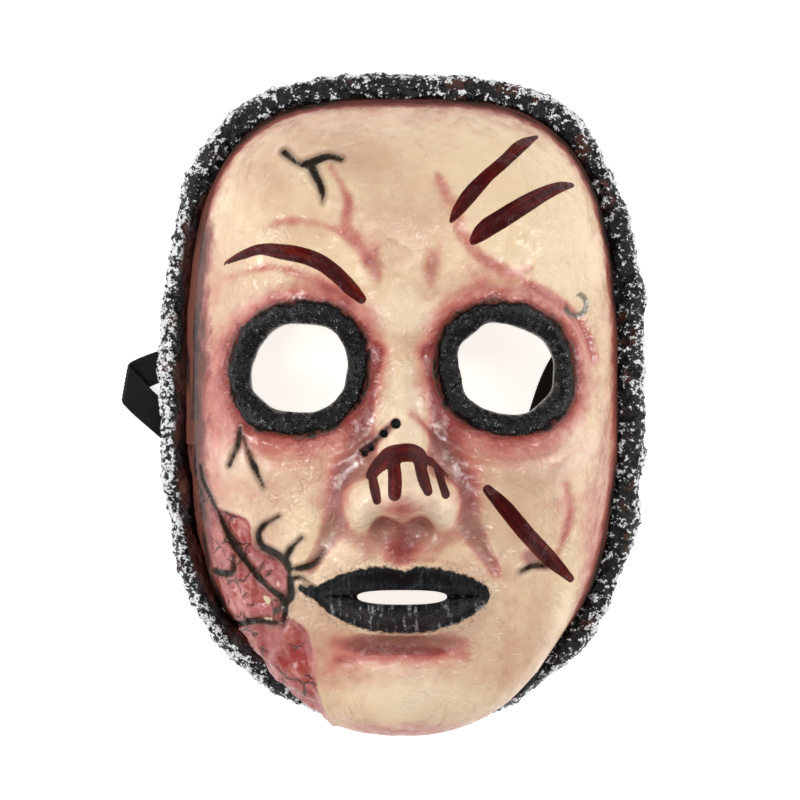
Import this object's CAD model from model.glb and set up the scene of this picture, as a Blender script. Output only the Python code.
# Latex horror mask lying face up: every surface and its finish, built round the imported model.
# Shapes are worked out in millimetres in the face's own frame (X to the viewer's right, Y to the
# forehead, Z out of the face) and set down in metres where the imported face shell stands.

import math

import bmesh
import bpy
import numpy as np
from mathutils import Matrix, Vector


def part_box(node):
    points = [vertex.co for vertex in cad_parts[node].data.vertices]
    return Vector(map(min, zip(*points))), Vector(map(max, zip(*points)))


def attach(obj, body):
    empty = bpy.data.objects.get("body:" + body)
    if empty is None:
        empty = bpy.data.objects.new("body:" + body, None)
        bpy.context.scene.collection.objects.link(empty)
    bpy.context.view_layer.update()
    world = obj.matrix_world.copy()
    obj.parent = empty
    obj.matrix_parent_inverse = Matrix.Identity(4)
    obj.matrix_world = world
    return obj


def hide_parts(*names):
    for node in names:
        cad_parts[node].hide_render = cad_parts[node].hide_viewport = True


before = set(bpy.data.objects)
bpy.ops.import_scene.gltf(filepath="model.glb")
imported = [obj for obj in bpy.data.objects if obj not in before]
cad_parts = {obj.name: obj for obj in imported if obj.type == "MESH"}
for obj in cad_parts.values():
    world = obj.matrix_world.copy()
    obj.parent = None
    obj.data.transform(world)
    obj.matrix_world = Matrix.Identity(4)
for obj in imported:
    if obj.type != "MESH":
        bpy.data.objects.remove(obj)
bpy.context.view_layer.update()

shellLow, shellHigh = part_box("face_shell")
print("stage: frame loaded")

# Sizes of the bare face, as it was cast
face = {
    "width": (shellHigh.x - shellLow.x) * 1000,
    "height": 249.0,
    "depth": 68.0,
    "wall": 2.5,
    "foreheadSquareness": 3.4,
    "jawSquareness": 2.25,
    "squarenessFrom": -0.35,
    "squarenessTo": 0.55,
    "domeSquareness": 2.12,
    "reliefFrom": 0.42,
    "reliefTo": 0.74,
    "edgeLift": 0.5,
    "earArchRise": 5.2,
    "earArchLength": 92.0,
    "earArchBelowStrap": 11.0,
    "chinTuck": 10.0,
    "chinTuckLow": 12.5,
    "chinTuckHigh": 34.0,
    "chinJut": 10.0,
    "chinJutHeight": 38.0,
    "chinJutFade": 1.4,
    "chinFrom": 0.62,
    "chinTo": 0.97,
    "hairlineMargin": 9.0,
    "chinMargin": 7.5,
    "eyeWidth": 38.5,
    "relief": 10.0,
    "noseRise": 23.0,
    "noseWidth": 41.0,
    "noseRootUp": 1.88,
    "noseTipUp": 0.15,
    "mouthWidth": 60.0,
    "upperLip": 10.0,
    "lowerLip": 12.5,
    "lipRise": 5.0,
    "lipBowDip": 0.17,
    "lipBowWidth": 0.075,
    "slitWidth": 33.0,
    "slitHeight": 5.6,
    "slitSquareness": 2.5,
    "eyeHoleWidth": 49.0,
    "eyeHoleHeight": 46.0,
    "eyeHoleSquareness": 2.25,
    "eyeHoleTilt": 0.06,
}
third = (face["height"] - face["hairlineMargin"] - face["chinMargin"]) / 3
halfWidth = face["width"] / 2
halfHeight = face["height"] / 2
chinY = -halfHeight + face["chinMargin"]
mouthY = chinY + third * 2 / 3
noseBaseY = chinY + third
eyeY = chinY + third * 1.75
strapLeftY = eyeY + 3.0
strapRightY = eyeY + 18.0
earArchY = strapLeftY - face["earArchBelowStrap"]
faceOrigin = np.array([(shellLow.x + shellHigh.x) / 2, shellHigh.y - halfHeight / 1000, 0.0])

# Soft forms: across in eye widths, up in thirds above the chin, rise as a share of the relief
softForms = (
    # name, across, up, spreadAcross, spreadUp, rise
    ("brow ridge", 0.95, 2.03, 0.62, 0.13, 0.55),
    ("between the brows", 0.0, 2.02, 0.42, 0.17, 0.35),
    ("forehead", 0.85, 2.50, 0.60, 0.26, 0.22),
    ("eye socket", 1.02, 1.74, 0.70, 0.27, -1.05),
    ("inner eye corner", 0.50, 1.76, 0.24, 0.16, -0.45),
    ("root of the nose", 0.0, 1.82, 0.26, 0.10, -0.25),
    ("temple", 2.00, 2.12, 0.42, 0.34, -0.45),
    ("cheekbone", 1.52, 1.38, 0.60, 0.22, 0.62),
    ("cheek hollow", 1.55, 0.78, 0.46, 0.32, -0.42),
    ("muzzle", 0.0, 0.70, 0.80, 0.30, 0.62),
    ("crease under the lips", 0.0, 0.43, 0.46, 0.055, -0.48),
    ("chin", 0.0, 0.21, 0.50, 0.17, 0.75),
    ("jaw corner", 1.55, 0.36, 0.40, 0.20, 0.20),
)
noseForms = (
    # across in nose widths, up in thirds above the nose's base, spreads, share of the nose's rise
    (0.0, 0.105, 0.31, 0.150, 0.34),
    (0.35, 0.105, 0.150, 0.105, 0.36),
    (0.17, 0.010, 0.090, 0.050, -0.14),
)
grooves = (
    # name, across1, up1, across2, up2, width, depth
    ("brow furrow left", -0.20, 1.95, -0.28, 2.45, 0.10, 0.11),
    ("brow furrow right", 0.22, 1.95, 0.32, 2.40, 0.10, 0.11),
    ("mouth fold left", -0.56, 1.08, -1.02, 0.68, 0.11, 0.24),
    ("mouth fold right", 0.56, 1.08, 1.02, 0.68, 0.11, 0.24),
    ("torn cheek upper", -1.95, 1.05, -1.10, 0.72, 0.13, 0.30),
    ("torn cheek lower", -1.75, 0.52, -1.10, 0.55, 0.13, 0.32),
    ("cut cheek right", 1.05, 0.86, 1.62, 0.80, 0.10, 0.22),
)


def toWorld(points):
    # Millimetres in the face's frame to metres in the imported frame
    return np.asarray(points) / 1000 + faceOrigin


def smoothStep(value, low, high):
    # 3t² − 2t³, where t is how far the value is from low to high
    share = np.clip((value - low) / (high - low), 0.0, 1.0)
    return share * share * (3.0 - 2.0 * share)


def hump(value, spread):
    # A bell, e to the minus (value / spread)²
    return np.exp(-((value / spread) ** 2))


def signedPower(value, power):
    # The size of the value to that power, with its sign kept
    return np.sign(value) * np.abs(value) ** power


def circle(count):
    # Evenly spaced angles once round
    return np.linspace(0.0, 2 * math.pi, count + 1)[:-1]


def hashed(i, j, k, seed):
    # An even spread of numbers from 0 to 1, one for each corner of a whole-number lattice
    mixed = (i * 73856093) ^ (j * 19349663) ^ (k * 83492791) ^ (seed * 2654435)
    mixed = (mixed & 0xFFFFFFFF) * 1274126177 & 0xFFFFFFFF
    mixed = ((mixed ^ (mixed >> 15)) * 2246822519) & 0xFFFFFFFF
    return ((mixed ^ (mixed >> 13)) & 0xFFFF) / 65535.0


def valueNoise(points, size, seed):
    # Lattice numbers blended between the eight corners round each point, from −1 to 1
    scaled = points / size
    corner = np.floor(scaled).astype(np.int64)
    share = scaled - corner
    share = share * share * (3.0 - 2.0 * share)
    total = np.zeros(points.shape[:-1])
    for a in (0, 1):
        for b in (0, 1):
            for c in (0, 1):
                weight = ((share[..., 0] if a else 1 - share[..., 0])
                          * (share[..., 1] if b else 1 - share[..., 1])
                          * (share[..., 2] if c else 1 - share[..., 2]))
                total += weight * hashed(corner[..., 0] + a, corner[..., 1] + b,
                                         corner[..., 2] + c, seed)
    return 2.0 * total - 1.0


def layeredNoise(points, size, seed, layers=3):
    # A sum of value noises, each half the size and 0.55 times the strength of the last
    total, strength, whole = 0.0, 1.0, 0.0
    for layer in range(layers):
        total = total + strength * valueNoise(points, size / 2**layer, seed + 17 * layer)
        whole += strength
        strength *= 0.55
    return total / whole


def ridgedNoise(points, size, seed, layers=3):
    # 1 − |noise|, sharp along its crests
    return 1.0 - 2.0 * np.abs(layeredNoise(points, size, seed, layers))


def crumbs(points, size, seed):
    # The distance to the nearest of one random point per cell, and that cell's own number
    scaled = points / size
    cell = np.floor(scaled).astype(np.int64)
    nearest = np.full(points.shape[:-1], 9.0)
    number = np.zeros(points.shape[:-1])
    for a in (-1, 0, 1):
        for b in (-1, 0, 1):
            for c in (-1, 0, 1):
                i, j, k = cell[..., 0] + a, cell[..., 1] + b, cell[..., 2] + c
                spot = np.stack([i + hashed(i, j, k, seed), j + hashed(i, j, k, seed + 1),
                                 k + hashed(i, j, k, seed + 2)], axis=-1)
                away = np.linalg.norm(spot - scaled, axis=-1)
                number = np.where(away < nearest, hashed(i, j, k, seed + 3), number)
                nearest = np.minimum(away, nearest)
    return nearest, number


def outlineRadius(angle):
    # A superellipse whose power grows from the jaw to the forehead
    across, up = np.abs(np.cos(angle)), np.abs(np.sin(angle))
    blend = smoothStep(np.sin(angle), face["squarenessFrom"], face["squarenessTo"])
    power = face["jawSquareness"] + (face["foreheadSquareness"] - face["jawSquareness"]) * blend
    return ((across / halfWidth) ** power + (up / halfHeight) ** power) ** (-1.0 / power)


def edgeHeight(y):
    # The cut edge lies on the table and arches over each ear
    away = np.abs(y - earArchY) / face["earArchLength"]
    return face["earArchRise"] * (1.0 - smoothStep(away, 0.27, 0.5))


def chinPull(angle, z):
    # The chin's edge is tucked up towards the forehead, and above it the chin juts out
    below = smoothStep(-np.sin(angle), face["chinFrom"], face["chinTo"])
    tuck = face["chinTuck"] * (1.0 - smoothStep(z, face["chinTuckLow"], face["chinTuckHigh"]))
    fade = 1.0 - smoothStep(z, face["chinJutHeight"], face["chinJutFade"] * face["chinJutHeight"])
    jut = face["chinJut"] * smoothStep(z, face["chinTuckLow"], face["chinJutHeight"]) * fade
    return below * (tuck - jut)


def softFormHeight(x, y):
    # A sum of bells, one or two for each soft form
    height = np.zeros_like(x)
    for _, across, up, spreadAcross, spreadUp, rise in softForms:
        level = (y - chinY - up * third) / (spreadUp * third)
        for side in (-1, 1) if across else (1,):
            away = (x - side * across * face["eyeWidth"]) / (spreadAcross * face["eyeWidth"])
            height = height + rise * face["relief"] * np.exp(-(away**2) - level**2)
    return height


def grooveHeight(x, y):
    # A bell-shaped dent along each straight groove, shallower towards its ends
    height = np.zeros_like(x)
    for _, across1, up1, across2, up2, width, depth in grooves:
        leg = ((across1 * face["eyeWidth"], chinY + up1 * third, 0.0),
               (across2 * face["eyeWidth"], chinY + up2 * third, 0.0))
        away, along, _ = strokeField(x, y, [leg])
        length = math.hypot(leg[1][0] - leg[0][0], leg[1][1] - leg[0][1])
        taper = smoothStep(np.minimum(along, length - along) / length, -0.05, 0.42)
        height = height - depth * taper * face["relief"] * hump(away, width * face["eyeWidth"])
    return height


def noseHeight(x, y):
    # A ridge that widens and rises to the tip, with a ball and two wings
    rootY = chinY + face["noseRootUp"] * third
    tipY = noseBaseY + face["noseTipUp"] * third
    along = (rootY - y) / (rootY - tipY)
    share = np.clip(along, 0.0, 1.0)
    half = face["noseWidth"] * (0.17 + 0.085 * share)
    crest = np.exp(-(np.abs(x / half) ** 2.2)) + 0.34 * np.exp(-((x / (2.1 * half)) ** 2))
    rise = (0.07 + 0.62 * share**1.1) * smoothStep(along, -0.20, 0.16)
    total = rise * crest * (1.0 - smoothStep((tipY - y) / third, -0.06, 0.17))
    for across, up, spreadX, spreadY, shareOfRise in noseForms:
        for side in (-1, 1) if across else (1,):
            away = (x - side * across * face["noseWidth"]) / (spreadX * face["noseWidth"])
            level = (y - noseBaseY - up * third) / (spreadY * third)
            total = total + shareOfRise * np.exp(-(away**2) - level**2)
    return face["noseRise"] * total


def lipEdges(x, widen=1.0):
    # Heights of the two lips above and below the mouth line, tapering to the corners
    share = np.clip(np.abs(2.0 * x / (face["mouthWidth"] * widen)), 0.0, 1.0)
    taper = np.clip(1.0 - share**2.2, 0.0, 1.0)
    bow = 1.0 - face["lipBowDip"] * hump(x, face["lipBowWidth"] * face["mouthWidth"])
    upper = np.maximum(face["upperLip"] * taper**0.75 * bow, 0.01)
    lower = np.maximum(face["lowerLip"] * taper**0.85, 0.01)
    return upper, lower, taper


def lipHeight(x, y):
    # Each lip is half a sine across its height
    upper, lower, taper = lipEdges(x)
    above = y - mouthY
    acrossLip = np.clip(np.where(above > 0.0, above / upper, -above / lower), 0.0, 1.0)
    return face["lipRise"] * taper**0.4 * np.sin(math.pi * acrossLip**0.62)


def reliefHeight(x, y, z):
    # All the features, faded out down the side walls
    relief = softFormHeight(x, y) + grooveHeight(x, y) + noseHeight(x, y) + lipHeight(x, y)
    fade = smoothStep(z, face["reliefFrom"] * face["depth"], face["reliefTo"] * face["depth"])
    return relief * fade


def edgeTowards(angle):
    # Height of the cut edge in that direction
    return face["edgeLift"] + edgeHeight(outlineRadius(angle) * np.sin(angle))


def domeHeight(angle, size):
    # Height of the plain dome at that share of the way out to the cut edge
    low = edgeTowards(angle)
    power = face["domeSquareness"]
    return low + (face["depth"] - low) * (1.0 - np.clip(size, 0.0, 1.0) ** power) ** (1.0 / power)


def faceSurface(across, up):
    # A square of parameters folded onto a disc, raised as a superelliptic dome, plus the relief
    discX = across * np.sqrt(1.0 - up**2 / 2.0)
    discY = up * np.sqrt(1.0 - across**2 / 2.0)
    turn = np.clip(np.hypot(discX, discY), 0.0, 1.0) * math.pi / 2
    angle = np.arctan2(discY, discX)
    sine, cosine = np.sin(turn), np.clip(np.cos(turn), 0.0, 1.0)
    power = face["domeSquareness"]
    size = (sine**power + cosine**power) ** (1.0 / power)
    x = outlineRadius(angle) * sine / size * np.cos(angle)
    y = outlineRadius(angle) * sine / size * np.sin(angle)
    low = edgeTowards(angle)
    z = low + (face["depth"] - low) * cosine / size
    return np.stack([x, y + chinPull(angle, z), z + reliefHeight(x, y, z)], axis=-1)


def frontHeight(x, y):
    # Height of the bare skin over a point of the front of the face
    angle = np.arctan2(y, x)
    z = domeHeight(angle, np.minimum(np.hypot(x, y) / outlineRadius(angle), 0.999))
    return z + reliefHeight(x, y, z)


def hollowDepth(x, y, z, reach):
    # How far the relief lies below the mean of eight points round it at that reach
    turns = np.arange(8) * math.pi / 4
    around = sum(reliefHeight(x + reach * math.cos(a), y + reach * math.sin(a), z) for a in turns)
    return around / 8 - reliefHeight(x, y, z)


def eyeOutline(side, inset, turn):
    # A rounded superellipse, drawn in by the inset, a little higher at its inner corner
    power = 2.0 / face["eyeHoleSquareness"]
    x = (face["eyeHoleWidth"] / 2 - inset) * signedPower(np.cos(turn), power)
    y = (face["eyeHoleHeight"] / 2 - inset) * signedPower(np.sin(turn), power)
    return side * (face["eyeWidth"] + x), eyeY + y - face["eyeHoleTilt"] * x


def eyeDistance(x, y):
    # How far outside the nearer eye hole a point is: (its superelliptic radius − 1) · its reach
    away = np.abs(x) - face["eyeWidth"]
    level = y - eyeY + face["eyeHoleTilt"] * away
    power = face["eyeHoleSquareness"]
    radius = (np.abs(2 * away / face["eyeHoleWidth"]) ** power
              + np.abs(2 * level / face["eyeHoleHeight"]) ** power) ** (1.0 / power)
    return (1.0 - 1.0 / np.maximum(radius, 0.05)) * np.hypot(away, level)


def rimDistance(x, y, z):
    # How far inside the cut edge a point is, seen from the front
    angle = np.arctan2(y, x)
    y = y - chinPull(angle, z)
    return outlineRadius(np.arctan2(y, x)) - np.hypot(x, y)


def strokeField(x, y, strokes):
    # Distance to the nearest stroke less its half width there, and how far along and across it
    best, along, across = np.full(x.shape, 99.0), np.zeros(x.shape), np.zeros(x.shape)
    for number, stroke in enumerate(strokes):
        travelled = 60.0 * number
        stroke = openCurve(stroke, 5) if len(stroke) > 2 else stroke
        for (x1, y1, half1), (x2, y2, half2) in zip(stroke, stroke[1:]):
            legX, legY = x2 - x1, y2 - y1
            length = math.hypot(legX, legY)
            share = np.clip(((x - x1) * legX + (y - y1) * legY) / length**2, 0.0, 1.0)
            away = np.hypot(x - x1 - share * legX, y - y1 - share * legY)
            distance = away - (half1 + (half2 - half1) * share)
            nearer = distance < best
            best = np.where(nearer, distance, best)
            along = np.where(nearer, travelled + share * length, along)
            across = np.where(nearer, ((x - x1) * legY - (y - y1) * legX) / length, across)
            travelled += length
    return best, along, across


def gridFaces(rows, columns, closedRows=False, closedColumns=False):
    # Quads between neighbours, where the point in row j and column i has number j · columns + i
    j, i = np.meshgrid(np.arange(rows if closedRows else rows - 1),
                       np.arange(columns if closedColumns else columns - 1), indexing="ij")
    nextJ, nextI = (j + 1) % rows, (i + 1) % columns
    corners = (j * columns + i, j * columns + nextI, nextJ * columns + nextI, nextJ * columns + i)
    return np.stack(corners, axis=-1).reshape(-1, 4)


def makeMesh(name, points, faces, recalculate=True):
    mesh = bpy.data.meshes.new(name)
    mesh.from_pydata(np.asarray(points).reshape(-1, 3).tolist(), [], faces)
    if recalculate:
        body = bmesh.new()
        body.from_mesh(mesh)
        bmesh.ops.recalc_face_normals(body, faces=body.faces)
        body.to_mesh(mesh)
        body.free()
    mesh.shade_smooth()
    return mesh


def addPiece(name, mesh, materials, nodes):
    for material in materials:
        mesh.materials.append(material)
    piece = bpy.data.objects.new(name, mesh)
    bpy.context.scene.collection.objects.link(piece)
    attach(piece, "root")
    if nodes:
        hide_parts(*nodes)
    print("stage:", name, len(mesh.polygons), "faces")
    return piece


def addAttribute(mesh, name, values, kind="FLOAT"):
    layer = mesh.attributes.new(name, kind, "POINT")
    layer.data.foreach_set("vector" if kind == "FLOAT_VECTOR" else "value",
                           np.asarray(values, np.float32).ravel())


def meshPoints(mesh):
    points = np.empty(len(mesh.vertices) * 3, np.float32)
    mesh.vertices.foreach_get("co", points)
    return (points.reshape(-1, 3).astype(float) - faceOrigin) * 1000


# Short ways to build a material's nodes

def newMaterial(name):
    material = bpy.data.materials.new(name)
    material.use_nodes = True
    return material, material.node_tree, material.node_tree.nodes["Principled BSDF"]


def node(tree, kind, sockets=None, **settings):
    made = tree.nodes.new("ShaderNode" + kind)
    for name, value in settings.items():
        setattr(made, name, value)
    for name, value in (sockets or {}).items():
        plug(tree, value, made.inputs[name])
    return made


def plug(tree, value, socket):
    # An output is linked, and a plain number or colour is set on the socket itself
    if isinstance(value, bpy.types.NodeSocket):
        tree.links.new(value, socket)
    elif isinstance(value, tuple) and len(value) == 3 and len(socket.default_value) == 4:
        socket.default_value = (*value, 1.0)
    else:
        socket.default_value = value


def place(tree):
    return node(tree, "TexCoord").outputs["Object"]


def stretched(tree, vector, scale):
    return node(tree, "Mapping", {"Vector": vector, "Scale": scale}).outputs["Vector"]


def grain(tree, vector, scale, detail=4.0, roughness=0.55, distortion=0.0):
    return node(tree, "TexNoise", {"Vector": vector, "Scale": scale, "Detail": detail,
                                   "Roughness": roughness, "Distortion": distortion}
                ).outputs["Fac"]


def cells(tree, vector, scale, feature="F1", output="Distance"):
    return node(tree, "TexVoronoi", {"Vector": vector, "Scale": scale}, feature=feature
                ).outputs[output]


def maths(tree, operation, one, other):
    return node(tree, "Math", {0: one, 1: other}, operation=operation).outputs[0]


def times(tree, one, other):
    return maths(tree, "MULTIPLY", one, other)


def added(tree, one, other):
    return maths(tree, "ADD", one, other)


def minus(tree, one, other):
    return maths(tree, "SUBTRACT", one, other)


def band(tree, value, low, high, toLow=0.0, toHigh=1.0):
    return node(tree, "MapRange", {"Value": value, "From Min": low, "From Max": high,
                                   "To Min": toLow, "To Max": toHigh},
                interpolation_type="SMOOTHSTEP").outputs["Result"]


def mixColour(tree, share, one, other, blend="MIX"):
    return node(tree, "Mix", {0: share, 6: one, 7: other}, data_type="RGBA", blend_type=blend
                ).outputs[2]


def stored(tree, name, output="Fac"):
    return node(tree, "Attribute", attribute_name=name).outputs[output]


def addBump(tree, shader, height, distance=0.001, strength=1.0):
    bump = node(tree, "Bump", {"Height": height, "Distance": distance, "Strength": strength})
    plug(tree, bump.outputs["Normal"], shader.inputs["Normal"])


def splineLegs(fourKnots, steps):
    # Catmull-Rom: each leg is a cubic of its four nearest knots
    share = np.linspace(0.0, 1.0, steps, endpoint=False)[None, :, None]
    a, b, c, d = (knots[:, None, :] for knots in fourKnots)
    legs = 0.5 * (2 * b + (c - a) * share + (2 * a - 5 * b + 4 * c - d) * share**2
                  + (3 * b - a - 3 * c + d) * share**3)
    return legs.reshape(-1, legs.shape[-1])


def openCurve(knots, steps):
    # A curve from the first knot to the last, with one more knot made up past each end
    knots = np.asarray(knots, float)
    ends = np.vstack([2 * knots[0] - knots[1], knots, 2 * knots[-1] - knots[-2]])
    legs = splineLegs([ends[n:len(ends) - 3 + n] for n in range(4)], steps)
    return np.vstack([legs, knots[-1:]])


def closedCurve(knots, steps):
    # A curve once round the knots
    knots = np.asarray(knots, float)
    return splineLegs([np.roll(knots, shift, axis=0) for shift in (1, 0, -1, -2)], steps)


# Painted marks and wounds, charted by hand in millimetres on the face: x, y and half width
marks = {
    "slashes": [
        [(-67.6, 58.2, 0.5), (-60.3, 61.2, 1.6), (-52.7, 63.2, 2.1), (-44.0, 62.0, 2.9),
         (-36.4, 60.4, 3.0), (-29.9, 57.7, 3.0), (-23.9, 53.1, 2.9), (-19.0, 48.2, 2.7),
         (-14.9, 44.1, 1.8)],
        [(51.3, 107.4, 0.8), (45.0, 103.3, 2.4), (38.5, 96.8, 2.4), (32.0, 90.9, 2.5),
         (26.0, 84.3, 2.9), (21.1, 77.8, 2.3), (18.1, 73.2, 0.7)],
        [(64.6, 88.7, 1.0), (59.1, 87.3, 2.2), (52.1, 83.8, 2.9), (45.0, 79.5, 3.4),
         (37.4, 74.6, 3.6), (30.9, 70.3, 3.4), (27.1, 66.7, 2.0), (25.8, 65.1, 0.6)],
        [(31.5, -25.9, 1.8), (38.0, -32.8, 2.9), (47.0, -43.5, 3.1), (56.0, -53.0, 2.9),
         (64.0, -60.7, 1.4)],
        [(-11.9, -20.5, 1.4), (-10.2, -18.8, 2.2), (-7.6, -15.8, 2.8), (-3.8, -12.8, 3.2),
         (2.1, -12.0, 3.3), (5.6, -12.8, 2.9), (7.7, -14.5, 2.0), (10.2, -15.2, 1.4),
         (13.2, -17.9, 1.0), (17.0, -21.0, 0.3)],
        [(-11.0, -20.0, 1.6), (-9.8, -25.6, 1.8), (-9.1, -29.4, 1.5)],
        [(-3.0, -14.5, 2.2), (-2.6, -22.2, 2.5), (-2.7, -27.0, 2.3)],
        [(5.9, -14.0, 2.0), (7.7, -21.3, 2.2), (9.4, -26.0, 1.7)],
        [(12.4, -17.4, 1.0), (14.4, -23.0, 1.4), (15.9, -27.3, 1.6)],
    ],
    "cracks": [
        [(-44.4, 100.6, 0.9), (-39.2, 96.2, 0.7), (-34.8, 96.0, 1.2), (-28.2, 98.6, 0.8),
         (-22.8, 97.6, 0.4)],
        [(-34.8, 96.0, 1.1), (-32.6, 91.6, 1.0), (-29.9, 85.6, 0.8), (-29.6, 80.3, 0.2)],
        [(-60.0, -3.0, 0.2), (-61.0, -9.5, 0.6), (-64.4, -17.5, 0.2)],
        [(-58.9, -6.8, 0.2), (-56.5, -14.0, 0.5), (-54.0, -19.0, 0.6), (-51.4, -25.4, 0.2)],
        [(-45.5, -36.1, 0.2), (-51.0, -39.3, 0.8), (-53.7, -43.3, 0.8), (-52.4, -47.8, 0.9),
         (-47.4, -50.2, 0.9), (-43.1, -53.3, 1.1), (-41.8, -56.4, 1.0)],
        [(-37.2, -44.0, 0.2), (-41.4, -48.4, 0.7), (-43.1, -52.1, 0.6)],
        [(-29.0, -48.6, 0.2), (-32.2, -53.3, 0.6), (-36.4, -55.2, 0.7), (-41.3, -56.0, 0.6)],
        [(-41.9, -57.6, 0.6), (-41.3, -65.5, 1.2), (-44.2, -70.0, 0.8)],
        [(-76.5, -18.0, 0.5), (-75.2, -24.0, 0.6), (-70.3, -33.7, 0.5), (-65.9, -43.0, 0.8),
         (-63.6, -47.0, 1.1), (-58.5, -54.4, 0.7), (-51.0, -62.6, 0.6), (-45.5, -66.6, 0.9),
         (-43.4, -70.0, 1.0), (-44.8, -77.7, 0.6)],
        [(-65.6, -80.0, 0.4), (-59.6, -77.4, 0.8), (-53.7, -76.4, 0.8), (-46.3, -76.8, 0.6)],
        [(-72.6, -58.4, 0.3), (-64.8, -58.6, 0.7), (-63.6, -52.0, 0.3)],
        [(-33.5, -61.5, 0.2), (-38.5, -59.0, 0.5), (-41.6, -60.5, 0.4)],
        [(44.0, -57.0, 0.2), (49.0, -55.2, 0.6), (54.4, -55.4, 0.3)],
        [(-14.9, -11.6, 0.1), (-11.1, -9.4, 0.2), (-6.7, -4.4, 0.3), (-2.4, -1.0, 0.2)],
    ],
    "stitches": [(-2.3, -1.6, 1.9), (-6.6, -5.2, 1.6), (-11.2, -10.5, 1.2), (-13.6, -12.6, 1.2)],
    "blushLines": [
        [(-26.6, 94.3, 0.3), (-22.8, 87.8, 1.0), (-20.1, 80.3, 1.2), (-20.7, 71.5, 1.6),
         (-15.8, 64.0, 1.9), (-13.0, 58.0, 0.6)],
        [(-52.0, 71.6, 0.2), (-44.0, 73.2, 1.0), (-37.5, 73.4, 1.3), (-31.0, 72.3, 0.9),
         (-23.9, 69.9, 1.0), (-19.6, 67.3, 1.3)],
        [(-66.0, 53.0, 0.4), (-52.6, 56.3, 0.6), (-44.0, 55.8, 0.6), (-36.4, 53.1, 0.9),
         (-28.2, 49.3, 1.3), (-22.0, 43.0, 2.2)],
        [(13.0, 91.5, 0.4), (15.6, 86.0, 1.3), (18.9, 78.9, 1.8), (23.3, 67.5, 1.9),
         (29.8, 59.4, 1.5), (37.4, 55.1, 1.2), (41.8, 53.4, 1.1), (47.7, 56.2, 0.4)],
        [(42.0, 52.6, 0.5), (53.2, 47.0, 1.6), (59.1, 43.1, 1.7), (65.1, 37.7, 1.7),
         (69.7, 31.3, 1.5), (72.5, 22.0, 0.8)],
        [(-14.0, -12.0, 0.8), (-11.1, -9.4, 1.1), (-6.7, -4.4, 1.1), (-2.0, -0.6, 0.7)],
        [(-24.0, -90.5, 0.5), (-12.0, -88.0, 1.8), (0.0, -87.4, 2.1), (12.0, -87.8, 1.6),
         (24.0, -88.6, 0.5)],
        [(61.4, -24.5, 0.3), (62.9, -37.4, 1.0), (58.8, -49.6, 0.4)],
        [(3.0, 2.5, 0.3), (9.0, -3.0, 0.8), (13.0, -8.5, 0.9), (17.5, -15.0, 0.8)],
    ],
    "rawEdge": [(-78.0, -10.0), (-75.7, -23.7), (-70.3, -33.2), (-58.5, -37.4), (-56.4, -43.5),
                (-55.4, -48.8), (-46.3, -51.5), (-42.6, -57.0), (-41.2, -65.5), (-43.3, -72.9),
                (-36.3, -77.7), (-34.2, -84.0), (-32.6, -89.9), (-31.5, -103.6), (-26.0, -118.0)],
    "rawOuter": [(-26.0, -150.0), (-120.0, -150.0), (-120.0, -10.0)],
    "crescent": (65.3, 43.0, 4.2),
    "blushSpots": [
        # x, y, reach across, reach up, strength
        (0.0, -32.0, 9.5, 5.0, 0.92), (0.0, -48.5, 5.5, 6.5, 0.80), (-22.5, -27.0, 6.0, 9.0, 0.55),
        (22.5, -27.0, 6.0, 9.0, 0.60), (-27.0, 22.0, 9.0, 20.0, 0.45), (18.0, 12.0, 6.0, 17.0, 0.62),
        (-16.0, 12.0, 6.0, 15.0, 0.62), (30.0, 51.0, 12.0, 7.0, 0.50), (-22.0, 45.0, 8.0, 6.0, 0.62),
        (-60.0, -2.0, 13.0, 12.0, 0.58), (-36.0, -14.0, 20.0, 9.0, 0.42), (38.0, -13.0, 22.0, 9.0, 0.50),
        (-72.0, 5.0, 7.0, 46.0, 0.55), (-52.0, -28.0, 16.0, 10.0, 0.34), (-24.0, -92.0, 18.0, 12.0, 0.55),
        (10.0, -92.0, 26.0, 8.0, 0.42), (40.0, -78.0, 5.0, 26.0, 0.36), (0.0, -119.0, 36.0, 5.0, 0.80),
        (60.0, -28.0, 9.0, 18.0, 0.34), (72.0, -46.0, 6.0, 34.0, 0.55), (-54.0, -84.0, 16.0, 22.0, 0.50),
        (14.0, 76.0, 7.0, 16.0, 0.28), (-16.0, 66.0, 8.0, 14.0, 0.30), (28.0, -56.0, 12.0, 8.0, 0.22),
        (0.0, 112.0, 60.0, 8.0, 0.20), (44.0, 4.0, 26.0, 20.0, 0.30), (-44.0, 4.0, 26.0, 22.0, 0.34),
    ],
    "paleSpots": [
        (52.0, 68.0, 24.0, 22.0, 1.0), (34.0, 98.0, 26.0, 14.0, 0.6), (-20.0, 60.0, 9.0, 8.0, 0.9),
        (20.0, -26.0, 4.5, 7.0, 0.8), (66.0, -62.0, 10.0, 32.0, 0.8), (-60.0, 80.0, 14.0, 20.0, 0.5),
        (-20.0, -8.0, 9.0, 12.0, 0.5), (0.0, -104.0, 26.0, 9.0, 0.6), (-6.0, 12.0, 6.0, 22.0, 0.5),
        (-26.0, -48.0, 14.0, 12.0, 0.4), (62.0, 8.0, 9.0, 24.0, 0.6),
    ],
}


def sumOfSpots(x, y, spots):
    # 1 − the product of (1 − strength · bell) over the spots
    left = np.ones_like(x)
    for spotX, spotY, reachX, reachY, strength in spots:
        left = left * (1.0 - strength * np.exp(-(((x - spotX) / reachX) ** 2)
                                               - ((y - spotY) / reachY) ** 2))
    return 1.0 - left


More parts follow.
